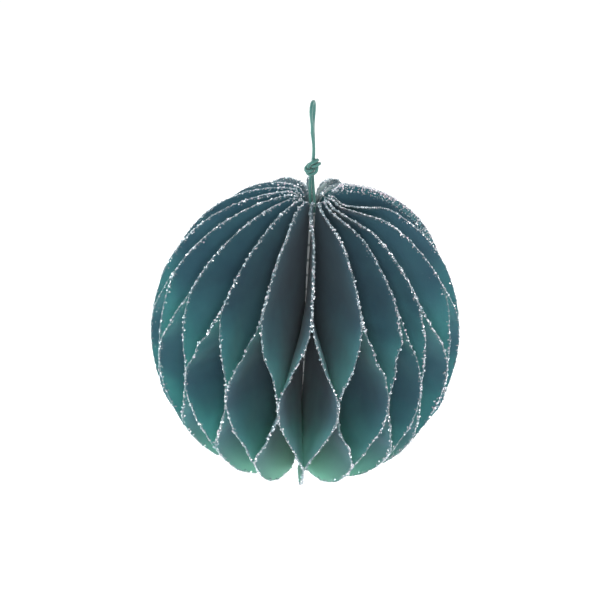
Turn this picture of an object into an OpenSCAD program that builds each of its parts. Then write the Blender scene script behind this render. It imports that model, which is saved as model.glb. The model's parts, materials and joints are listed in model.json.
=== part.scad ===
// Paper honeycomb ball on a cord.
// A book of half-round pages is bound round a hollow spine and opened through a full turn, so that its
// two covers meet back to back. Each page is glued to one neighbour near the poles and to the other
// one at the equator, and the pages pull each other into diamond cells as the book opens.
// Millimetres, +Z up. The origin is where the cord's loop hangs on its hook.
// Azimuths are in degrees about the ball's axis: 0 faces -Y, and they grow towards +X.

/* [Ball] */
// Radius of the open ball
ball_r = 50; // [40:1:60]
// Lean of the ball's axis towards its heavier side, in degrees
lean = 2.9; // [0:0.1:6]
// Azimuth of the heavier side, near the covers
lean_az = 105; // [0:1:359]
// Azimuth of the plane where the two covers meet
closure_az = 117; // [0:1:359]
// Height of the ball's centre below the hook
drop = 79.9; // [70:0.1:100]

/* [Paper] */
// Thickness of a page
page_t = 0.2; // [0.15:0.01:0.3]
// Radius of a page's round corners at the spine
corner_r = 4.5; // [3:0.1:6]
// Latitude at which two pages that are glued together near a pole part
part_lat = 31.8; // [25:0.1:40]
// Half height of the glue line at the equator
glue_half = 2.75; // [1:0.05:5]
// How far the last leaf's top turns away from the covers, in degrees
crowding = 46; // [0:1:46]

/* [Covers] */
// Radius of a cover board, which stands a little proud of the pages
board_r = 51.8; // [50:0.1:52]
// Thickness of a cover board
board_t = 0.45; // [0.4:0.05:0.55]
// Distance of a board's straight edge from the axis
board_in_r = 6; // [5.5:0.1:8]
// Diameter of a magnet
magnet_d = 6; // [4:0.5:8]
// Thickness of a magnet
magnet_t = 0.3; // [0.2:0.05:0.35]
// Distance of the magnets from the ball's centre
magnet_r = 42; // [30:1:44]
// Latitude of the magnets, one above the equator and one below
magnet_lat = 30; // [10:1:40]

/* [Spine] */
// Outer radius of the spine tube
spine_r = 2.9; // [2.5:0.05:2.9]
// Wall of the spine tube
spine_wall = 0.6; // [0.4:0.05:0.8]
// Half height of the spine tube
spine_half = 44; // [35:0.5:44]

/* [Cord] */
// Diameter of one strand
strand_d = 1.1; // [0.8:0.05:1.2]
// Turn of the loop's plane about the cord, in degrees from the X axis
loop_turn = 76; // [0:1:90]
// Diameter of the knot above the ball
knot_d = 5.2; // [4:0.1:7]
// Diameter of the stopper knot under the spine
stopper_d = 5.5; // [5:0.1:5.6]
// Height of the cord's bend above the ball's centre, inside the pole
bend_h = 46; // [44.5:0.1:47]

/* [Hidden] */
planes = 18;
pages = 2 * planes;
leaf_step = 360 / planes;
// How far each plane of pages stands from an even share of the turn, as the glue has set
drift = [0, 3, 4, 5, 6.5, 8, 9, 8.5, 6, 5, 5, 3, 4, 5, 2.5, -5, -2, 0, 0];
crowding_span = 50;
crowding_lat = [60, 84];
crowding_r = [3, 11];

function page_name(n) = str("page_", n < 10 ? "0" : "", n);

// --- Placing the ball ---
lean_side = [sin(lean_az), -cos(lean_az), 0];
axis = [sin(lean) * lean_side.x, sin(lean) * lean_side.y, cos(lean)];
bend_z = bend_h * cos(lean) - drop;
centre = [-bend_h * axis.x, -bend_h * axis.y, -drop];

module in_ball() {
    translate(centre) rotate(a = lean, v = [-lean_side.y, lean_side.x, 0]) children();
}

// Turns a shape drawn in the XZ plane into the plane at an azimuth
module at_azimuth(az) {
    rotate([0, 0, az - 90]) children();
}

// --- Pages ---
inner_r = 3;
corner_x = inner_r + corner_r;
corner_z = sqrt(pow(ball_r - corner_r, 2) - pow(corner_x, 2));
tip_z = corner_z + corner_r - 0.08;
part_z = ball_r * sin(part_lat);
glue_gap = 0.04;
pair_offset = (page_t + glue_gap) / 2;
cover_gap = 0.07;
cover_offset = glue_gap + board_t + cover_gap + page_t / 2;
rows = 24;

function clamp(x) = max(0, min(1, x));
function smooth(u) = u * u * (3 - 2 * u);
function lerp(a, b, u) = a + (b - a) * u;

// Azimuth of a plane of pages, from 0 at the front cover to 18 at the back cover
function plane_az(i) = closure_az + leaf_step * i + drift[i];

// 0 where a page lies against its pair at the poles, 1 on the glue line at the equator
function opening(z) =
    let (u = clamp((part_z - abs(z)) / (part_z - glue_half))) lerp(u, smooth(u), 0.5);

// How far a page's top is turned back by the crowding of the leaves beside the covers
function crowd(i, r, z) =
    i == planes ? 0 :
    let (
        behind = (plane_az(planes - 1) - plane_az(i)) / crowding_span,
        lat = asin(clamp(z / ball_r)),
        up = smooth(clamp((lat - crowding_lat[0]) / (crowding_lat[1] - crowding_lat[0]))),
        out = smooth(clamp((r - crowding_r[0]) / (crowding_r[1] - crowding_r[0])))
    )
    crowding * exp(-behind) * up * out;

function row_z(k) = tip_z * sin(90 * (2 * k / rows - 1));

function row_inner_r(z) =
    abs(z) <= corner_z ? inner_r : corner_x - sqrt(pow(corner_r, 2) - pow(abs(z) - corner_z, 2));

function row_outer_r(z) = sqrt(pow(ball_r, 2) - pow(z, 2));

// A point of page side (-1 or 1) of plane i, on its back or front face
function page_point(i, side, r, z, face) =
    let (
        home = plane_az(i),
        middle = (home + plane_az(i + side)) / 2,
        open = opening(z),
        az = lerp(home, middle, open) - crowd(i, r, z),
        rest = i == 0 || i == planes ? cover_offset : pair_offset,
        off = side * lerp(rest, -pair_offset, open) + face * page_t / 2
    )
    [r * sin(az) + off * cos(az), off * sin(az) - r * cos(az), z];

function page_row(i, side, z) = [
    for (r = [row_inner_r(z), row_outer_r(z)]) for (face = [-1, 1]) page_point(i, side, r, z, face)
];

// The eight triangles between two rows of four points
function page_band(k) =
    let (a = 4 * k, b = a + 4) [
        [a + 1, a + 3, b + 3], [a + 1, b + 3, b + 1],
        [a, b + 2, a + 2], [a, b, b + 2],
        [a + 2, b + 2, b + 3], [a + 2, b + 3, a + 3],
        [a, b + 1, b], [a, a + 1, b + 1]
    ];

module page(n) {
    i = floor(n / 2);
    side = n % 2 == 0 ? -1 : 1;
    last = 4 * rows;
    color([0.14, 0.38, 0.40]) in_ball() polyhedron(
        points = [for (k = [0:rows]) each page_row(i, side, row_z(k))],
        faces = concat(
            [for (k = [0:rows - 1]) each page_band(k)],
            [[0, 2, 3, 1], [last, last + 1, last + 3, last + 2]]
        )
    );
}

// --- Covers and magnets ---
board_corner_x = board_in_r + corner_r;
board_corner_z = sqrt(pow(board_r - corner_r, 2) - pow(board_corner_x, 2));
fine = 96;

module board_outline() {
    intersection() {
        circle(r = board_r, $fn = fine);
        union() {
            translate([board_in_r, -board_corner_z]) square([board_r, 2 * board_corner_z]);
            translate([board_corner_x, -board_r]) square([board_r, 2 * board_r]);
            for (end = [-1, 1])
                translate([board_corner_x, end * board_corner_z]) circle(r = corner_r, $fn = fine);
        }
    }
}

module at_magnets() {
    for (end = [-1, 1])
        translate([magnet_r * cos(magnet_lat), end * magnet_r * sin(magnet_lat), 0]) children();
}

// Draws in a cover's own plane: X out from the axis, Y up, Z away from the other cover
module on_cover(side) {
    in_ball() at_azimuth(closure_az) mirror([0, side < 0 ? 1 : 0, 0])
        translate([0, glue_gap, 0]) rotate([90, 0, 0]) mirror([0, 0, 1]) children();
}

module cover(side) {
    on_cover(side) difference() {
        linear_extrude(board_t) board_outline();
        at_magnets() translate([0, 0, -1]) cylinder(d = magnet_d + 0.1, h = magnet_t + 1.05, $fn = fine);
    }
}

module magnets(side) {
    on_cover(side) at_magnets() cylinder(d = magnet_d, h = magnet_t, $fn = fine);
}

module cover_front() { color([0.12, 0.33, 0.36]) cover(1); }
module cover_back() { color([0.12, 0.33, 0.36]) cover(-1); }
module magnets_front() { color("silver") magnets(1); }
module magnets_back() { color("silver") magnets(-1); }

// --- Spine ---
module spine_tube() {
    color([0.72, 0.73, 0.70]) in_ball() difference() {
        cylinder(r = spine_r, h = 2 * spine_half, center = true, $fn = fine);
        cylinder(r = spine_r - spine_wall, h = 2 * spine_half + 2, center = true, $fn = fine);
    }
}

// --- Cord ---
// The cord is doubled: two strands side by side, drawn here as one round tube below the loop.
strand_r = strand_d / 2;
pair_r = strand_d;
sides = 8;
touch = 0.02;
loop_end_z = -8;
knot_at = [0.4, 0, -21.5];
// The left half of the loop in its own plane, from its foot to its top, across and up
loop_half = [
    [-0.6, -8], [-0.7, -6.8], [-1.1, -5.5], [-1.6, -4.2], [-2, -3], [-2.2, -1.8], [-1.9, -0.6], [-1.1, 0.3]
];
loop_route = concat(
    [for (p = loop_half) [p.x, 0, p.y]],
    [[0, 0, 0.55]],
    [for (k = [len(loop_half) - 1:-1:0]) [-loop_half[k].x, 0, loop_half[k].y]]
);
strands_route = [[0, 0, -9.1], [0, 0, -11.5], [0.1, 0, -14], [0.3, 0, -16.5], [0.4, 0, -19], knot_at];
neck_route = [knot_at, [0.4, 0, -24], [0.2, 0, -26.5], [0, 0, -29], [0, 0, bend_z + pair_r + touch]];

function unit(v) = v / norm(v);
function heading(route, k) = unit(route[min(k + 1, len(route) - 1)] - route[max(k - 1, 0)]);

// One ring of a tube, square to its route
function ring(at, ahead, r) =
    let (u = unit(cross(ahead, [0, 1, 0])), v = cross(ahead, u))
    [for (a = [0:sides - 1]) at + r * (cos(360 * a / sides) * u + sin(360 * a / sides) * v)];

// A tube along a route, with a radius for each of its points
module tube(route, radii) {
    count = len(route);
    polyhedron(
        points = [for (k = [0:count - 1]) each ring(route[k], heading(route, k), radii[k])],
        faces = concat(
            [[for (a = [sides - 1:-1:0]) a]],
            [for (k = [0:count - 2]) for (a = [0:sides - 1])
                [k * sides + a, k * sides + (a + 1) % sides,
                 (k + 1) * sides + (a + 1) % sides, (k + 1) * sides + a]],
            [[for (a = [0:sides - 1]) (count - 1) * sides + a]]
        )
    );
}

function even(route, r) = [for (p = route) r];

module cord_loop() {
    color([0.25, 0.56, 0.52]) rotate([0, 0, loop_turn]) tube(loop_route, even(loop_route, strand_r));
}

// The round top end turns under the loop's feet
module cord_strands() {
    dome = [80, 55, 30];
    color([0.25, 0.56, 0.52]) tube(
        concat([for (a = dome) strands_route[0] + [0, 0, pair_r * sin(a)]], strands_route),
        concat([for (a = dome) pair_r * cos(a)], even(strands_route, pair_r))
    );
}

module cord_knot() {
    color([0.25, 0.56, 0.52]) translate(knot_at) sphere(d = knot_d, $fn = 48);
}

module cord_neck() {
    color([0.25, 0.56, 0.52]) tube(neck_route, even(neck_route, pair_r));
}

// The stretch inside the spine, with a round top end that turns under the neck
module inner_cord() {
    color([0.25, 0.56, 0.52]) in_ball() {
        translate([0, 0, -spine_half]) cylinder(r = pair_r, h = bend_h + spine_half, $fn = 32);
        translate([0, 0, bend_h]) sphere(r = pair_r, $fn = 32);
    }
}

module stopper_knot() {
    color([0.25, 0.56, 0.52]) in_ball()
        translate([0, 0, -spine_half - stopper_d / 2 - touch]) sphere(d = stopper_d, $fn = 48);
}

cord_loop();
cord_strands();
cord_knot();
cord_neck();
inner_cord();
stopper_knot();
spine_tube();
cover_front();
cover_back();
magnets_front();
magnets_back();
for (n = [1:pages]) page(n);
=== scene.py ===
import json
import math
import random

import bpy
import numpy as np
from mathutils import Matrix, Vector


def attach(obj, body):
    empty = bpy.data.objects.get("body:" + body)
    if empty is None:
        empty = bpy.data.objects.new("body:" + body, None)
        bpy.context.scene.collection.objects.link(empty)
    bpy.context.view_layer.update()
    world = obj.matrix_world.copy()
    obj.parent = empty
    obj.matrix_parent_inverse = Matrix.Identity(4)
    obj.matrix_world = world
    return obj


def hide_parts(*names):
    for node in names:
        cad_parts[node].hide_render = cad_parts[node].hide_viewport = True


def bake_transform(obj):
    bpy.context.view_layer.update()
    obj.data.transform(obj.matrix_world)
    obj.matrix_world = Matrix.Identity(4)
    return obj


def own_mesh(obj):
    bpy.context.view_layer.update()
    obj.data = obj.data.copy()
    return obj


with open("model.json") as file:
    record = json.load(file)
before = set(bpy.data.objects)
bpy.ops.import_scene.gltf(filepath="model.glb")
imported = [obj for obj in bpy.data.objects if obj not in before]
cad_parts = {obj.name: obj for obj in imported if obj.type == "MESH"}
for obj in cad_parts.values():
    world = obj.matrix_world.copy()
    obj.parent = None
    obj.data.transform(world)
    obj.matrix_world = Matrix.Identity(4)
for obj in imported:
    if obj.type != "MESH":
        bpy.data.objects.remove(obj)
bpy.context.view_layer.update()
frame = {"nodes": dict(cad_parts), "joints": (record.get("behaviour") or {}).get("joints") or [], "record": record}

# Looks of a paper honeycomb ball that hangs on a doubled, knotted cord: 36 creased translucent pages with
# glitter along their rims, two paper-covered boards, a rolled paper spine and a cord of three plies.
# Shapes are worked out in millimetres and turned into metres where a mesh is made.
MM = 0.001

# --- Places, from the frame ---
joints = {joint["name"]: joint for joint in frame["joints"]}
couplings = frame["record"]["behaviour"]["couplings"]
ball_centre = np.array(joints["spin"]["pos_m"]) / MM
ball_axis = np.array(joints["spin"]["axis"])
swing_z = joints["swing"]["pos_m"][2] / MM
pole_z = joints["tilt"]["pos_m"][2] / MM
upright = Vector((0, 0, 1)).rotation_difference(Vector(ball_axis)).to_matrix()
ball_turn = np.array(upright)

planes = len(couplings) + 1
# Where round the ball the two covers meet, in degrees
closure_az = 117.0
plane_azimuths = [closure_az] + [closure_az + 360 * c["ratio"] for c in couplings] + [closure_az + 360]


def farthest(node):
    """How far the farthest point of a CAD node is from the ball's centre, in millimetres."""
    points = np.array([v.co for v in frame["nodes"][node].data.vertices]) / MM
    return float(np.linalg.norm(points - ball_centre, axis=1).max())


ball_r = round(farthest("page_18"), 1)
board_r = round(farthest("cover_front"), 1)


def to_row(points):
    """Points in the ball's own frame, in millimetres, as points in the row frame, in metres."""
    return (np.asarray(points) @ ball_turn.T + ball_centre) * MM


# --- Small helpers ---
def clamp(x):
    return np.clip(x, 0.0, 1.0)


def smooth(u):
    return u * u * (3 - 2 * u)


def lerp(a, b, u):
    return a + (b - a) * u


def unit(v):
    v = np.asarray(v, float)
    return v / np.linalg.norm(v, axis=-1, keepdims=True)


def across(azimuth):
    """The way in which azimuth grows, square to the plane at that azimuth."""
    turn = math.radians(azimuth)
    return np.array([math.cos(turn), math.sin(turn), 0.0])


def add_mesh(name, points, faces, materials, uvs=None, face_materials=None, sharp=40):
    """A mesh piece from points in metres. uvs hold one pair for each point."""
    mesh = bpy.data.meshes.new(name)
    mesh.from_pydata([tuple(p) for p in points], [], faces)
    for material in materials:
        mesh.materials.append(material)
    if face_materials is not None:
        mesh.polygons.foreach_set("material_index", face_materials)
    if uvs is not None:
        layer = mesh.uv_layers.new(name="sheet")
        loops = np.zeros(len(mesh.loops), int)
        mesh.loops.foreach_get("vertex_index", loops)
        layer.data.foreach_set("uv", np.asarray(uvs)[loops].astype(np.float32).ravel())
    mesh.shade_smooth()
    mesh.set_sharp_from_angle(angle=math.radians(sharp))
    mesh.update()
    piece = bpy.data.objects.new(name, mesh)
    bpy.context.scene.collection.objects.link(piece)
    return piece


# --- Materials ---
# How far apart the flat sheets of two pages are laid for their materials, in metres
sheet_pitch = 0.11


def start_material(name):
    material = bpy.data.materials.new(name)
    material.use_nodes = True
    tree = material.node_tree
    return material, tree, tree.nodes["Principled BSDF"], tree.nodes["Material Output"]


def noise(tree, vector, scale, detail=4.0, roughness=0.55):
    node = tree.nodes.new("ShaderNodeTexNoise")
    node.inputs["Scale"].default_value = scale
    node.inputs["Detail"].default_value = detail
    node.inputs["Roughness"].default_value = roughness
    tree.links.new(vector, node.inputs["Vector"])
    return node.outputs["Fac"]


def ramp(tree, value, stops):
    """A colour ramp: stops are (position, colour)."""
    node = tree.nodes.new("ShaderNodeValToRGB")
    elements = node.color_ramp.elements
    for position, _ in stops[2:]:
        elements.new(position)
    for element, (position, colour) in zip(elements, stops):
        element.position = position
        element.color = (*colour, 1)
    tree.links.new(value, node.inputs["Fac"])
    return node.outputs["Color"]


def maths(tree, operation, a, b):
    node = tree.nodes.new("ShaderNodeMath")
    node.operation = operation
    for socket, value in zip(node.inputs, (a, b)):
        if isinstance(value, (int, float)):
            socket.default_value = value
        else:
            tree.links.new(value, socket)
    return node.outputs["Value"]


def mix_colours(tree, share, a, b):
    node = tree.nodes.new("ShaderNodeMix")
    node.data_type = "RGBA"
    tree.links.new(share, node.inputs["Factor"])
    for socket, value in ((node.inputs[6], a), (node.inputs[7], b)):
        if isinstance(value, tuple):
            socket.default_value = (*value, 1)
        else:
            tree.links.new(value, socket)
    return node.outputs[2]


def bump(tree, height, distance, strength=1.0):
    node = tree.nodes.new("ShaderNodeBump")
    node.inputs["Distance"].default_value = distance
    node.inputs["Strength"].default_value = strength
    tree.links.new(height, node.inputs["Height"])
    return node.outputs["Normal"]


def sheet_position(tree):
    """Place on the flat sheet, in metres: how far along it and how far from the spine."""
    node = tree.nodes.new("ShaderNodeUVMap")
    node.uv_map = "sheet"
    return node.outputs["UV"]


def object_position(tree):
    return tree.nodes.new("ShaderNodeTexCoord").outputs["Object"]


def sheet_share(tree):
    """How far up its sheet a point is, from 0 at the ball's lowest point to 1 at its highest."""
    split = tree.nodes.new("ShaderNodeSeparateXYZ")
    tree.links.new(sheet_position(tree), split.inputs["Vector"])
    shifted = maths(tree, "ADD", split.outputs["X"], sheet_pitch / 2)
    on_sheet = maths(tree, "MODULO", shifted, sheet_pitch)
    from_lowest = maths(tree, "SUBTRACT", on_sheet, sheet_pitch / 2 - ball_r * MM)
    return maths(tree, "DIVIDE", from_lowest, 2 * ball_r * MM)


def stretched(tree, vector, scale):
    node = tree.nodes.new("ShaderNodeMapping")
    node.inputs["Scale"].default_value = scale
    tree.links.new(vector, node.inputs["Vector"])
    return node.outputs["Vector"]


def paper_material(name, painted_tip_light):
    """Thin dyed paper: fibres, cloudy dye, and light that comes through it. The lower end is painted paler and
    greener and lets more light through, as painted light for the lower cells; where asked, the upper tip is
    painted pale too, as painted light from behind."""
    material, tree, shader, output = start_material(name)
    place = sheet_position(tree)
    cloud = noise(tree, place, 70, 3)
    fibre = noise(tree, stretched(tree, place, (1.0, 3.0, 1.0)), 900, 5, 0.7)
    grain = noise(tree, place, 3200, 2)
    dye = ramp(tree, cloud, [(0.3, (0.032, 0.100, 0.156)), (0.7, (0.047, 0.142, 0.193))])
    flecks = ramp(tree, fibre, [(0.42, (0.035, 0.109, 0.156)), (0.72, (0.083, 0.203, 0.255))])
    share = maths(tree, "MULTIPLY", fibre, 0.45)
    up_it = sheet_share(tree)
    white, black = (1.0, 1.0, 1.0), (0.0, 0.0, 0.0)
    # Painted light: the lower end of the sheet is painted paler and greener, for the light that reaches the open
    # lower cells
    end = ramp(tree, up_it, [(0.08, white), (0.32, black)])
    paler_tone = mix_colours(tree, fibre, (0.085, 0.290, 0.230), (0.150, 0.410, 0.330))
    sheet = mix_colours(tree, end, mix_colours(tree, share, dye, flecks), paler_tone)
    glow = ramp(tree, cloud, [(0.3, (0.21, 0.56, 0.49)), (0.7, (0.28, 0.68, 0.60))])
    # Painted light: the lower end also lets more light through
    glow = mix_colours(tree, end, glow, (0.62, 0.92, 0.80))
    if painted_tip_light:
        # Painted light: the upper tip is painted pale and lets more light through, for light from behind the sheet
        tip = ramp(tree, up_it, [(0.945, black), (0.975, white)])
        painted_tip_colour = mix_colours(tree, fibre, (0.45, 0.60, 0.60), (0.60, 0.72, 0.72))
        sheet = mix_colours(tree, tip, sheet, painted_tip_colour)
        glow = mix_colours(tree, tip, glow, (0.84, 0.95, 0.94))
    tree.links.new(sheet, shader.inputs["Base Color"])
    tree.links.new(ramp(tree, fibre, [(0.2, (0.62,) * 3), (0.8, (0.82,) * 3)]), shader.inputs["Roughness"])
    shader.inputs["Specular IOR Level"].default_value = 0.14
    shader.inputs["Sheen Weight"].default_value = 0.13
    shader.inputs["Sheen Roughness"].default_value = 0.6
    shader.inputs["Sheen Tint"].default_value = (1.0, 0.92, 0.94, 1)
    height = maths(tree, "ADD", maths(tree, "MULTIPLY", fibre, 0.7), maths(tree, "MULTIPLY", grain, 0.3))
    normal = bump(tree, height, 0.00006)
    tree.links.new(normal, shader.inputs["Normal"])
    through = tree.nodes.new("ShaderNodeBsdfTranslucent")
    tree.links.new(glow, through.inputs["Color"])
    tree.links.new(normal, through.inputs["Normal"])
    both = tree.nodes.new("ShaderNodeMixShader")
    both.inputs["Fac"].default_value = 0.42
    tree.links.new(shader.outputs["BSDF"], both.inputs[1])
    tree.links.new(through.outputs["BSDF"], both.inputs[2])
    tree.links.new(both.outputs["Shader"], output.inputs["Surface"])
    return material


def edge_material():
    """Dark dried glue along a page's edge, under the glitter."""
    material, tree, shader, _ = start_material("glued_edge")
    lumps = noise(tree, object_position(tree), 3000, 3)
    glue = ramp(tree, lumps, [(0.35, (0.020, 0.045, 0.055)), (0.65, (0.070, 0.120, 0.135))])
    tree.links.new(glue, shader.inputs["Base Color"])
    tree.links.new(ramp(tree, lumps, [(0.3, (0.35,) * 3), (0.7, (0.7,) * 3)]), shader.inputs["Roughness"])
    tree.links.new(bump(tree, lumps, 0.00005), shader.inputs["Normal"])
    return material


def board_material():
    """Grey board wrapped in the same paper."""
    material, tree, shader, _ = start_material("covered_board")
    place = object_position(tree)
    cloud = noise(tree, place, 70, 3)
    fibre = noise(tree, place, 1400, 5, 0.7)
    dye = ramp(tree, cloud, [(0.3, (0.022, 0.098, 0.125)), (0.7, (0.034, 0.135, 0.155))])
    flecks = ramp(tree, fibre, [(0.4, (0.024, 0.100, 0.120)), (0.75, (0.065, 0.195, 0.215))])
    share = maths(tree, "MULTIPLY", fibre, 0.5)
    tree.links.new(mix_colours(tree, share, dye, flecks), shader.inputs["Base Color"])
    tree.links.new(ramp(tree, fibre, [(0.2, (0.6,) * 3), (0.8, (0.8,) * 3)]), shader.inputs["Roughness"])
    shader.inputs["Specular IOR Level"].default_value = 0.35
    tree.links.new(bump(tree, fibre, 0.00005), shader.inputs["Normal"])
    return material


def glitter_material(name, light, dark, metallic):
    """Silvered flakes: each patch of them shines a little differently."""
    material, tree, shader, _ = start_material(name)
    patch = noise(tree, object_position(tree), 2600, 1)
    tree.links.new(ramp(tree, patch, [(0.35, dark), (0.6, light)]), shader.inputs["Base Color"])
    tree.links.new(ramp(tree, patch, [(0.3, (0.42,) * 3), (0.7, (0.2,) * 3)]), shader.inputs["Roughness"])
    shader.inputs["Metallic"].default_value = metallic
    shader.inputs["Specular IOR Level"].default_value = 0.8
    return material


def spine_material():
    """Pale rolled paper, with fine seams round it."""
    material, tree, shader, _ = start_material("rolled_paper")
    place = object_position(tree)
    fibre = noise(tree, stretched(tree, place, (1, 1, 0.3)), 1500, 5, 0.7)
    band = tree.nodes.new("ShaderNodeTexWave")
    band.wave_type = "BANDS"
    band.bands_direction = "Z"
    band.inputs["Scale"].default_value = 60
    band.inputs["Distortion"].default_value = 1.5
    tree.links.new(place, band.inputs["Vector"])
    base = ramp(tree, fibre, [(0.3, (0.27, 0.34, 0.35)), (0.7, (0.40, 0.47, 0.48))])
    seam = ramp(tree, band.outputs["Fac"], [(0.02, (0.30, 0.35, 0.33)), (0.12, (1.0, 1.0, 1.0))])
    both = tree.nodes.new("ShaderNodeMix")
    both.data_type = "RGBA"
    both.blend_type = "MULTIPLY"
    both.inputs["Factor"].default_value = 1.0
    tree.links.new(base, both.inputs[6])
    tree.links.new(seam, both.inputs[7])
    tree.links.new(both.outputs[2], shader.inputs["Base Color"])
    shader.inputs["Roughness"].default_value = 0.85
    tree.links.new(bump(tree, fibre, 0.00005), shader.inputs["Normal"])
    return material


def magnet_material():
    """Nickel plate with faint scuffs."""
    material, tree, shader, _ = start_material("nickel_plate")
    scuffs = noise(tree, stretched(tree, object_position(tree), (1, 1, 8)), 900, 6, 0.8)
    nickel = ramp(tree, scuffs, [(0.3, (0.42, 0.42, 0.40)), (0.7, (0.66, 0.66, 0.64))])
    tree.links.new(nickel, shader.inputs["Base Color"])
    tree.links.new(ramp(tree, scuffs, [(0.3, (0.2,) * 3), (0.7, (0.45,) * 3)]), shader.inputs["Roughness"])
    shader.inputs["Metallic"].default_value = 1.0
    return material


def cord_material():
    """Teal fibres that run along each ply."""
    material, tree, shader, _ = start_material("teal_cord")
    place = sheet_position(tree)
    fibre = noise(tree, stretched(tree, place, (1.0, 9.0, 1.0)), 1800, 4, 0.7)
    cloud = noise(tree, place, 300, 2)
    thread = ramp(tree, fibre, [(0.3, (0.008, 0.070, 0.062)), (0.7, (0.034, 0.190, 0.160))])
    paler_tone = ramp(tree, fibre, [(0.3, (0.020, 0.090, 0.082)), (0.7, (0.070, 0.215, 0.190))])
    tree.links.new(mix_colours(tree, cloud, thread, paler_tone), shader.inputs["Base Color"])
    shader.inputs["Roughness"].default_value = 0.7
    shader.inputs["Sheen Weight"].default_value = 0.3
    shader.inputs["Sheen Roughness"].default_value = 0.4
    tree.links.new(bump(tree, fibre, 0.00008), shader.inputs["Normal"])
    return material


PAPER = paper_material("teal_paper", False)
# Paper whose upper tip has a painted pale glow for the light behind it
TIP_LIT_PAPER = paper_material("paper_painted_tip_light", True)
EDGE = edge_material()
BOARD = board_material()
SILVER = glitter_material("silver_glitter", (0.88, 0.93, 0.95), (0.20, 0.30, 0.33), 0.75)
PEARL = glitter_material("pearl_glitter", (0.86, 0.80, 0.85), (0.40, 0.36, 0.42), 0.35)
DULL = glitter_material("dull_glitter", (0.30, 0.42, 0.46), (0.08, 0.14, 0.17), 0.6)
SPINE = spine_material()
MAGNET = magnet_material()
CORD = cord_material()

# --- Camera ---
camera_distance = 600
camera_elevation = 31
focal_length = 110.6
camera_data = bpy.data.cameras.new("camera")
camera = bpy.data.objects.new("camera", camera_data)
bpy.context.scene.collection.objects.link(camera)
bpy.context.scene.camera = camera
camera_data.lens = focal_length
camera_data.sensor_width = 36
camera_data.shift_x = -0.0088
camera_data.shift_y = 0.051
camera_data.clip_start = 0.05
up = math.radians(camera_elevation)
backward = Vector((0, -math.cos(up), math.sin(up)))
camera.location = Vector(ball_centre * MM) + backward * camera_distance * MM
camera.rotation_euler = backward.to_track_quat("Z", "Y").to_euler()

# --- Cord ---
strand_d = 1.1
# Where the knot is to lie, how far from there it is tied, as it drifts while it tightens, and the turn of
# the loop's plane
knot_at = np.array([0.4, 0.0, -21.5])
knot_drift = np.array([-0.4, 0.9, 1.0])
loop_turn = math.radians(76)
# The left half of the loop in its own plane, from its foot to its top, across and up
loop_half = [
    (-0.6, -8), (-0.7, -6.8), (-1.1, -5.5), (-1.6, -4.2), (-2, -3), (-2.2, -1.8), (-1.9, -0.6), (-1.1, 0.3)
]
loop_top = (0.0, 0.55)
ring_step = 0.15
ply_sides = 18
plies = 3
lay_length = 3.4
# Radius in the grooves between the plies, and how far a ply bulges past it, as shares of the diameter
groove_share = 0.432
ply_bulge = 0.043


def along(points):
    """How far along a line each of its points is."""
    steps = np.linalg.norm(np.diff(points, axis=0), axis=1)
    return np.concatenate([[0.0], np.cumsum(steps)])


def evenly(points, count):
    """A line's points, spread evenly along it."""
    place = along(points)
    wanted = np.linspace(0, place[-1], count)
    return np.stack([np.interp(wanted, place, points[:, k]) for k in range(3)], 1)


def rounded(points, step):
    """A smooth line through the points, with a point at about every step."""
    points = np.asarray(points, float)
    before = np.concatenate([[2 * points[0] - points[1]], points[:-1]])[:-1]
    a, b = points[:-1], points[1:]
    after = np.concatenate([points[1:], [2 * points[-1] - points[-2]]])[1:]
    line = [points[0]]
    for u in np.linspace(0, 1, 9)[1:]:
        line.append(0.5 * (2 * a + (b - before) * u + (2 * before - 5 * a + 4 * b - after) * u**2
                           + (3 * a - before - 3 * b + after) * u**3))
    dense = np.stack(line[1:], 1).reshape(-1, 3)
    dense = np.concatenate([points[:1], dense])
    return evenly(dense, int(along(dense)[-1] / step) + 1)


def carried(line, first):
    """A side direction for each point of a line, carried along it without twist."""
    ahead = unit(np.gradient(line, axis=0))
    sides = [unit(first - ahead[0] * (ahead[0] @ first))]
    for k in range(1, len(line)):
        sides.append(unit(sides[-1] - ahead[k] * (ahead[k] @ sides[-1])))
    return ahead, np.array(sides)


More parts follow.
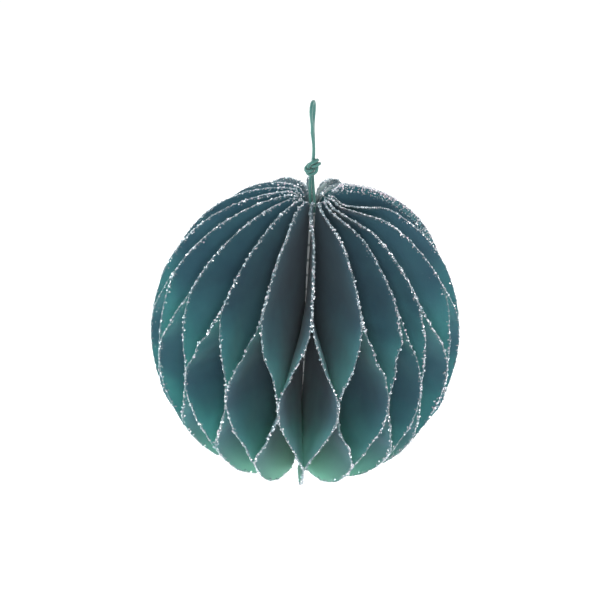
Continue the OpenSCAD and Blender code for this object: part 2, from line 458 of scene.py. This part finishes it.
def tie_knot(low, high, turn_low, turn_high, at):
    """Two strands side by side, tied in an overhand knot and pulled tight between low and high.
    Each step shortens the strands' bends and pushes apart what lies too close."""
    # Length that the knot takes up, least distance between strands, length of a step, and how often
    spare, spacing, step, rounds = 18.0, 1.3, 0.42, 1500
    # How strongly bends are eased, over one step and over two, how strongly strands are kept together
    # and pushed apart, and the share of each move that is made
    easing, wide_easing, holding, pushing, calm = 0.3, 0.12, 0.1, 0.3, 0.6
    t = np.linspace(-2.12, 2.12, 300)
    trefoil = np.stack([2.4 * (t**3 - 3 * t), 2.2 * (t**4 - 4 * t**2), 0.5 * (t**5 - 10 * t)], 1)
    trefoil += at - (trefoil.max(0) + trefoil.min(0)) / 2
    line = np.concatenate([[low], trefoil, [high]])
    total = np.linalg.norm(high - low) + spare
    count = int(total / step)
    line = evenly(line, count)
    _, side = carried(line, np.array([math.cos(turn_low), math.sin(turn_low), 0.0]))
    points = np.concatenate([line + side * spacing / 2, line - side * spacing / 2])
    order = np.tile(np.arange(count), 2)
    strand = np.repeat([0, 1], count)
    near = (abs(order[:, None] - order) < 1.7 * spacing / step) & (strand[:, None] == strand)
    apart = np.triu(~near, 1)
    ends = []
    for first, sign in ((0, 1), (count, -1)):
        ends.append((first, first + 1, low, turn_low, sign, 1))
        ends.append((first + count - 1, first + count - 2, high, turn_high, sign, -1))
    loose = along(line)[-1]
    for k in range(rounds):
        rest = lerp(loose, total, min(1, k / (0.6 * rounds))) / (count - 1)
        for tip, second, place, turn, sign, way in ends:
            points[tip] = place + sign * 0.53 * strand_d * np.array([math.cos(turn), math.sin(turn), 0])
            points[second] = points[tip] + [0, 0, way * rest]
        move = np.zeros_like(points)
        for part, pull in ((points[:count], move[:count]), (points[count:], move[count:])):
            gap = np.diff(part, axis=0)
            length = np.linalg.norm(gap, axis=1)[:, None]
            stretch = gap / length * (length - rest) / 2
            pull[:-1] += stretch
            pull[1:] -= stretch
            pull[1:-1] += ((part[:-2] + part[2:]) / 2 - part[1:-1]) * easing
            pull[2:-2] += ((part[:-4] + part[4:]) / 2 - part[2:-2]) * wide_easing
        gap = points[:count] - points[count:]
        length = np.linalg.norm(gap, axis=1)[:, None]
        together = gap / length * (length - 1.04 * strand_d) * holding
        move[:count] -= together
        move[count:] += together
        gaps = points[:, None] - points
        distance = np.sqrt((gaps**2).sum(-1))
        i, j = np.nonzero(apart & (distance < spacing))
        push = gaps[i, j] * ((spacing / distance[i, j] - 1) * pushing)[:, None]
        np.add.at(move, i, push)
        np.add.at(move, j, -push)
        points += move * calm
    return points[:count], points[count:]


def ply_tubes(lines):
    """Twisted three-ply cords along lines: points in millimetres, faces, and sheet places in metres."""
    points, faces, places = [], [], []
    turns = np.linspace(0, 2 * math.pi, ply_sides, endpoint=False)
    for line in lines:
        ahead, side = carried(line, np.array([0.3, 0.9, 0.2]))
        other = np.cross(ahead, side)
        run = along(line)
        base = sum(len(p) for p in points)
        twist = 2 * math.pi * run / lay_length
        angle = turns[None] + twist[:, None]
        radius = strand_d * (groove_share + ply_bulge * np.abs(np.cos(plies / 2 * turns)) ** 0.6)
        ring = np.cos(angle)[..., None] * side[:, None] + np.sin(angle)[..., None] * other[:, None]
        points.append((line[:, None] + ring * radius[None, :, None]).reshape(-1, 3))
        flat = np.stack(np.broadcast_arrays(run[:, None], turns[None] * strand_d / 2), -1)
        places.append(flat.reshape(-1, 2) * MM)
        for k in range(len(line) - 1):
            for s in range(ply_sides):
                a, b = base + k * ply_sides, base + (k + 1) * ply_sides
                t = (s + 1) % ply_sides
                faces.append((a + s, a + t, b + t, b + s))
        last = base + (len(line) - 1) * ply_sides
        faces.append(tuple(base + s for s in reversed(range(ply_sides))))
        faces.append(tuple(last + s for s in range(ply_sides)))
    return np.concatenate(points), faces, np.concatenate(places)


def make_cord():
    """The free cord: up one strand from the pole, round the loop and down the other, through one knot."""
    low = np.array([0.0, 0.0, pole_z])
    high = np.array([0.0, 0.0, swing_z])
    left, right = tie_knot(low, high, 0.0, loop_turn, knot_at + knot_drift)
    plane = np.array([math.cos(loop_turn), math.sin(loop_turn), 0])
    half = [plane * -x + [0, 0, z] for x, z in loop_half]
    top = [plane * loop_top[0] + [0, 0, loop_top[1]]]
    rest = [plane * x + [0, 0, z] for x, z in reversed(loop_half)]
    line = rounded(np.concatenate([left, half, top, rest, right[::-1]]), ring_step)
    points, faces, places = ply_tubes([line])
    cord = add_mesh("hanging_cord", points * MM, faces, [CORD], places, sharp=80)
    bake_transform(cord)
    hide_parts("cord_loop", "cord_strands", "cord_knot", "cord_neck")


make_cord()

# --- Floor and light ---
def make_floor():
    size, height = 4.0, -0.55
    points = [(-size, -size, height), (size, -size, height), (size, size, height), (-size, size, height)]
    material, tree, shader, _ = start_material("pale_floor")
    shader.inputs["Base Color"].default_value = (0.95, 0.95, 0.95, 1)
    shader.inputs["Roughness"].default_value = 0.9
    floor = add_mesh("floor", points, [(0, 1, 2, 3)], [material])


def soft_light(name, place, aim, size, power, colour):
    data = bpy.data.lights.new(name, "AREA")
    data.shape = "DISK"
    data.size = size
    data.energy = power
    data.color = colour
    light = bpy.data.objects.new(name, data)
    light.location = place
    light.rotation_euler = (Vector(place) - Vector(aim)).to_track_quat("Z", "Y").to_euler()
    light.visible_camera = False
    bpy.context.scene.collection.objects.link(light)


def make_light():
    """White surroundings and an overhead light, a warm front light between cool ones from the sides,
    low ones for the lower cells, and lights behind and under that shine through the sheets."""
    world = bpy.data.worlds.new("studio")
    bpy.context.scene.world = world
    world.use_nodes = True
    background = world.node_tree.nodes["Background"]
    background.inputs["Color"].default_value = (0.96, 0.98, 1.0, 1)
    background.inputs["Strength"].default_value = 0.5
    sun = bpy.data.lights.new("overhead", "SUN")
    sun.energy = 1.8
    sun.angle = math.radians(60)
    high = bpy.data.objects.new("overhead", sun)
    bpy.context.scene.collection.objects.link(high)
    middle = tuple(ball_centre * MM)
    soft_light("left", (-1.1, -0.2, 0.2), middle, 1.0, 5.2, (0.76, 0.90, 1.0))
    soft_light("right", (1.1, -0.3, 0.1), middle, 0.9, 0.5, (0.60, 0.80, 1.0))
    soft_light("front", (0.0, -1.2, 0.4), middle, 0.5, 10.5, (1.0, 0.88, 0.88))
    soft_light("low_left", (-0.5, -0.35, -0.45), middle, 0.4, 2.2, (0.95, 1.0, 0.96))
    soft_light("low_right", (0.5, -0.35, -0.45), middle, 0.4, 4.2, (1.0, 0.80, 0.78))
    soft_light("under_left", (-0.65, 0.4, -0.5), middle, 0.7, 16.0, (0.95, 1.0, 0.95))
    soft_light("under_right", (0.65, 0.4, -0.5), middle, 0.7, 7.0, (1.0, 0.97, 0.95))
    soft_light("behind", (0.2, 1.0, 0.35), middle, 0.8, 7.0, (1.0, 0.99, 0.95))


make_floor()
make_light()
bpy.context.scene.view_settings.view_transform = "Standard"

# --- Pages ---
# A page's thickness, the radius of its round corners and the distance of its straight edge from the axis
page_t = 0.2
corner_r = 4.5
inner_r = 3.0
corner_x = inner_r + corner_r
corner_z = math.sqrt((ball_r - corner_r) ** 2 - corner_x**2)
tip_z = corner_z + corner_r - 0.02
# The height at which the two pages of a pair part, and half the glue line at the equator
part_z = ball_r * math.sin(math.radians(31.8))
glue_half = 2.75
glue_gap = 0.04
board_t = 0.45
board_in_r = 6.0
# How far a page near the poles lies from its plane, with its pair or with a board in between
pair_offset = (page_t + glue_gap) / 2
cover_offset = glue_gap + board_t + 0.07 + page_t / 2
# The crowding of the last leaves' tops: its most, over how many degrees round the ball it fades,
# between which latitudes it grows, and over what distance from a page's inner edge
crowding = 46
crowding_span = 50
crowding_lat = (60, 84)
crowding_r = 8
page_rows = 84
page_columns = 22
# Planes of pages at the back of the open ball, whose upper tips get a painted pale glow for the light behind them
backlit_tip_planes = range(1, 4)


def opening(z):
    """0 where a page lies against its pair at the poles, 1 on the glue line at the equator."""
    u = clamp((part_z - np.abs(z)) / (part_z - glue_half))
    return lerp(u, smooth(u), 0.5)


def crowd(i, r, z):
    """How far a page's top is turned back by the crowding of the leaves beside the covers, in degrees."""
    if i == planes:
        return 0 * z
    behind = (plane_azimuths[planes - 1] - plane_azimuths[i]) / crowding_span
    latitude = np.degrees(np.arcsin(clamp(z / ball_r)))
    up = smooth(clamp((latitude - crowding_lat[0]) / (crowding_lat[1] - crowding_lat[0])))
    out = smooth(clamp((r - inner_r) / crowding_r))
    return crowding * math.exp(-behind) * up * out


def rim_inner(z):
    """Distance from the axis of a page's inner edge, with its round corners."""
    past = np.maximum(np.abs(z) - corner_z, 0)
    return corner_x - np.sqrt(np.maximum(corner_r**2 - past**2, 0))


def rim_outer(z):
    return np.sqrt(ball_r**2 - z**2)


class Creases:
    """Soft creases in a sheet, each along a line from the spine to the rim, and three slow waves."""

    def __init__(self, seed, count, depth, wave):
        rng = random.Random(seed)
        self.creases = []
        for _ in range(count):
            latitude = rng.uniform(-75, 75)
            foot = ball_r * math.sin(math.radians(latitude)) * rng.uniform(0.55, 0.9)
            rim = math.radians(latitude + rng.uniform(-9, 9))
            start = np.array([inner_r, foot])
            end = ball_r * np.array([math.cos(rim), math.sin(rim)])
            self.creases.append((start, end, rng.uniform(0.6, 1.8), rng.uniform(-1, 1) * depth))
        self.waves = []
        for _ in range(3):
            self.waves.append((rng.uniform(0.03, 0.11), rng.uniform(-0.06, 0.06), rng.uniform(0, 6.3)))
        self.wave = wave

    def height(self, r, z):
        total = np.zeros_like(r)
        for start, end, width, depth in self.creases:
            way = unit(end - start)
            gap = (r - start[0]) * -way[1] + (z - start[1]) * way[0]
            total += depth * np.exp(-((gap / width) ** 2)) * smooth(clamp((r - inner_r) / 25))
        for kz, kr, phase in self.waves:
            swell = np.sin(kz * 2 * math.pi * z + kr * 2 * math.pi * r + phase)
            total += self.wave / 3 * swell * (r / ball_r) ** 2
        return total


# Creases that a pair of pages has in common near the poles, two glued pages at the equator, and one alone
plane_creases = [Creases(100 + i, 5, 0.10, 0.12) for i in range(planes + 1)]
middle_creases = [Creases(200 + i, 3, 0.08, 0.15) for i in range(planes)]
page_creases = [Creases(300 + n, 9, 0.35, 0.9) for n in range(2 * planes + 1)]


def page_place(n, r, z, off):
    """A point of page n in the ball's frame, off square to the sheet."""
    i = n // 2
    side = -1 if n % 2 == 0 else 1
    home = plane_azimuths[i]
    middle = (home + plane_azimuths[i + side]) / 2
    opened = opening(z)
    azimuth = np.radians(lerp(home, middle, opened) - crowd(i, r, z))
    at_cover = i in (0, planes)
    rest = cover_offset if at_cover else pair_offset
    near_pole = 0.0 if at_cover else plane_creases[i].height(r, z)
    near_glue = middle_creases[min(i, i + side)].height(r, z)
    free = 4 * opened * (1 - opened)
    bend = lerp(near_pole, near_glue, opened) + free * page_creases[n].height(r, z)
    total = side * lerp(rest, -pair_offset, opened) + bend + off
    return np.stack([
        r * np.sin(azimuth) + total * np.cos(azimuth),
        total * np.sin(azimuth) - r * np.cos(azimuth),
        z + 0 * r,
    ], -1)


def page_body(n):
    i = n // 2
    return "ball" if i == 0 else "back" if i == planes else f"leaf_{i:02d}"


def flatten(piece):
    """Gives the piece its own copy of its mesh."""
    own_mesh(piece)


def make_page(n):
    rows = tip_z * np.sin(np.radians(90 * np.linspace(-1, 1, page_rows + 1)))
    shares = np.linspace(0, 1, page_columns + 1) ** 0.8
    z = np.repeat(rows[:, None], page_columns + 1, 1)
    r = lerp(rim_inner(z), rim_outer(z), shares[None])
    wide, tall = page_columns + 1, page_rows + 1
    faces = []
    points = []
    for face in (1, -1):
        points.append(page_place(n, r, z, face * page_t / 2).reshape(-1, 3))
    back = wide * tall
    for k in range(page_rows):
        for c in range(page_columns):
            a, b = k * wide + c, (k + 1) * wide + c
            faces.append((a, b, b + 1, a + 1))
            faces.append((back + a, back + a + 1, back + b + 1, back + b))
    sheet_faces = len(faces)
    rim = [k * wide for k in range(tall)]
    rim += [page_rows * wide + c for c in range(1, wide)]
    rim += [k * wide + page_columns for k in reversed(range(page_rows))]
    rim += [c for c in reversed(range(1, page_columns))]
    for a, b in zip(rim, rim[1:] + rim[:1]):
        faces.append((a, back + a, back + b, b))
    place = np.stack([z, r], -1).reshape(-1, 2) * MM + [n * sheet_pitch, 0]
    kinds = [0] * sheet_faces + [1] * (len(faces) - sheet_faces)
    materials = [TIP_LIT_PAPER if n // 2 in backlit_tip_planes else PAPER, EDGE]
    places = np.tile(place, (2, 1))
    name = f"paper_{n:02d}"
    piece = add_mesh(name, to_row(np.concatenate(points)), faces, materials, places, kinds, sharp=50)
    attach(piece, page_body(n))
    flatten(piece)
    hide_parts(f"page_{n:02d}")


# --- Glitter ---
corner_ways = np.array([(1, 0, 0), (-1, 0, 0), (0, 1, 0), (0, -1, 0), (0, 0, 1), (0, 0, -1)], float)
upper_faces = [(0, 2, 4), (2, 1, 4), (1, 3, 4), (3, 0, 4)]
lower_faces = [(2, 0, 5), (1, 2, 5), (3, 1, 5), (0, 3, 5)]
grain_faces = np.array(upper_faces + lower_faces)


def random_turns(rng, count):
    """Rotation matrices, one for each grain."""
    w, x, y, z = unit(rng.normal(size=(count, 4))).T
    return np.stack([
        1 - 2 * (y * y + z * z), 2 * (x * y - z * w), 2 * (x * z + y * w),
        2 * (x * y + z * w), 1 - 2 * (x * x + z * z), 2 * (y * z - x * w),
        2 * (x * z - y * w), 2 * (y * z + x * w), 1 - 2 * (x * x + y * y),
    ], -1).reshape(count, 3, 3)


def add_grains(name, places, sizes, shares, rng):
    """One mesh of irregular eight-sided grains at places, in millimetres in the ball's frame.
    shares are how many of them are silver, pearl and dull."""
    count = len(sizes)
    reach = rng.uniform(0.55, 1.15, (count, 6, 1)) * sizes[:, None, None]
    corners = places[:, None] + np.einsum("nij,nkj->nki", random_turns(rng, count), corner_ways * reach)
    faces = (grain_faces[None] + 6 * np.arange(count)[:, None, None]).reshape(-1, 3)
    kinds = np.repeat(rng.choice(3, count, p=shares), len(grain_faces))
    materials = [SILVER, PEARL, DULL]
    points = to_row(corners.reshape(-1, 3))
    return add_mesh(name, points, faces.tolist(), materials, face_materials=kinds, sharp=20)


def rim_point(s, depth, r, r_corner, x_corner):
    """A point by its way s along a rim that turns into a round corner near each pole, depth inside it."""
    z_corner = math.sqrt((r - r_corner) ** 2 - x_corner**2)
    passing = math.atan2(z_corner, x_corner)
    past = np.maximum(np.abs(s) - r * passing, 0) / r_corner
    turn = np.sign(s) * (np.minimum(np.abs(s) / r, passing) + past)
    radius = np.where(past > 0, r_corner, r) - depth
    across_it = radius * np.cos(turn) + np.where(past > 0, x_corner, 0)
    up_it = radius * np.sin(turn) + np.where(past > 0, np.sign(s) * z_corner, 0)
    return across_it, up_it


def rim_reach(r, r_corner, x_corner, last):
    """Half the length of a rim, as far as its corners have turned to last, in degrees."""
    passing = math.atan2(math.sqrt((r - r_corner) ** 2 - x_corner**2), x_corner)
    return r * passing + r_corner * (math.radians(last) - passing)


# Waves in the thickness of the glitter: least and most waves a millimetre, and how strong they are
clump_waves = [(0.01, 0.06, 0.3), (0.03, 0.1, 0.3), (0.15, 0.4, 0.4), (0.4, 0.7, 0.6), (0.6, 0.95, 0.6)]


def clumps(rng, s):
    """How thick the glitter is along a rim, from almost 0 to 2."""
    total = np.ones_like(s)
    for low, high, amount in clump_waves:
        total += amount * np.sin(2 * math.pi * rng.uniform(low, high) * s + rng.uniform(0, 6.3))
    return np.clip(total, 0.06, 2.0)


def rim_grains(rng, reach, density, spread, half_thickness):
    """Ways along a rim, depths inside it, offsets across it and sizes of the grains stuck on it."""
    s = rng.uniform(-reach, reach, int(4 * reach * density))
    thickness = clumps(rng, s)
    kept = rng.uniform(0, 2.0, len(s)) < thickness
    s, thickness = s[kept], thickness[kept]
    count = len(s)
    sizes = rng.uniform(0.09, 0.20, count) + 0.17 * thickness * rng.random(count) ** 2
    on_edge = rng.random(count) < 0.5
    face = rng.choice([-1, 1], count)
    depth = np.where(on_edge, -0.5 * sizes * rng.random(count), np.abs(rng.normal(0, spread, count)))
    on_rim = rng.uniform(-1, 1, count) * (half_thickness + 0.8 * sizes)
    off = np.where(on_edge, on_rim, face * (half_thickness + 0.35 * sizes))
    return s, depth, off, sizes


# Grains on a millimetre of rim, how far they stray from it, and how many are silver, pearl and dull
page_density = 6.0
thick_density = 11.0
cover_density = 34.0
page_stray = 0.42
cover_stray = 0.7
page_shares = (0.54, 0.10, 0.36)
cover_shares = (0.30, 0.45, 0.25)
# The plane of pages that has the thickest line of glitter, and the loose grains on the flat of a page
thick_plane = 15
loose_grains = 16
page_seed = 4000
cover_seed = 6000


def make_page_glitter(n):
    rng = np.random.default_rng(page_seed + n)
    density = thick_density if n // 2 == thick_plane else page_density
    reach = rim_reach(ball_r, corner_r, corner_x, 150)
    s, depth, off, sizes = rim_grains(rng, reach, density, page_stray, page_t / 2)
    s = np.concatenate([s, rng.uniform(-0.8, 0.8, loose_grains) * reach])
    depth = np.concatenate([depth, rng.uniform(0.8, 16, loose_grains) * rng.random(loose_grains)])
    off = np.concatenate([off, rng.choice([-1, 1], loose_grains) * (page_t / 2 + 0.03)])
    sizes = np.concatenate([sizes, rng.uniform(0.06, 0.14, loose_grains)])
    r, z = rim_point(s, depth, ball_r, corner_r, corner_x)
    piece = add_grains(f"paper_{n:02d}_glitter", page_place(n, r, z, off), sizes, page_shares, rng)
    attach(piece, page_body(n))
    flatten(piece)


def make_cover_glitter(name, side, body):
    rng = np.random.default_rng(cover_seed + side)
    x_corner = board_in_r + corner_r
    reach = rim_reach(board_r, corner_r, x_corner, 165)
    s, depth, off, sizes = rim_grains(rng, reach, cover_density, cover_stray, board_t / 2)
    r, z = rim_point(s, depth, board_r, corner_r, x_corner)
    out = np.array([math.sin(math.radians(closure_az)), -math.cos(math.radians(closure_az)), 0])
    aside = side * (glue_gap + board_t / 2) + off
    places = r[:, None] * out + aside[:, None] * across(closure_az) + z[:, None] * [0, 0, 1]
    piece = add_grains(name, places, sizes, cover_shares, rng)
    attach(piece, body)


for page in range(1, 2 * planes + 1):
    make_page(page)
    make_page_glitter(page)
make_cover_glitter("cover_front_glitter", 1, "ball")
make_cover_glitter("cover_back_glitter", -1, "back")

# --- Covers, magnets, spine and inner cord ---
def dress(node, material):
    """Gives a CAD node a material of its own."""
    mesh = frame["nodes"][node].data
    mesh.materials.clear()
    mesh.materials.append(material)


for node in ("cover_front", "cover_back"):
    dress(node, BOARD)
for node in ("magnets_front", "magnets_back"):
    dress(node, MAGNET)
dress("spine_tube", SPINE)

# Heights in the ball's frame: the cord's bend at the pole, the stopper knot and the ends of its tails
bend_h = 46.0
stopper_h = -47.2
tail_h = -50.6
# How far each strand lies from the axis inside the spine, and by how many degrees the two twist there
strand_aside = 0.58
inner_twist = 200
# Moves the stopper knot onto the axis, and the height under which it does
knot_shift = np.array([0.6, 0.6, -0.4])
knot_from = -40.5


def make_inner_cord():
    """The two strands inside the spine, and the stopper knot that they end in, with short tails."""
    low, high = np.array([0, 0, tail_h]), np.array([0, 0, stopper_h + 8.0])
    lines = []
    for strand, sign in zip(tie_knot(low, high, 0.0, 0.0, np.array([0.0, 0.6, stopper_h])), (1, -1)):
        strand += knot_shift * smooth(clamp((knot_from - strand[:, 2]) / 4))[:, None]
        heights = np.linspace(stopper_h + 9.0, bend_h + 0.4, 60)
        turn = np.radians(np.linspace(0, inner_twist, 60))
        aside = sign * strand_aside
        rise = np.stack([aside * np.cos(turn), aside * np.sin(turn), heights], 1)
        lines.append(rounded(np.concatenate([strand, rise]), ring_step))
    points, faces, places = ply_tubes(lines)
    piece = add_mesh("inner_cord_strands", to_row(points), faces, [CORD], places, sharp=80)
    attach(piece, "tail")
    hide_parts("inner_cord", "stopper_knot")


make_inner_cord()
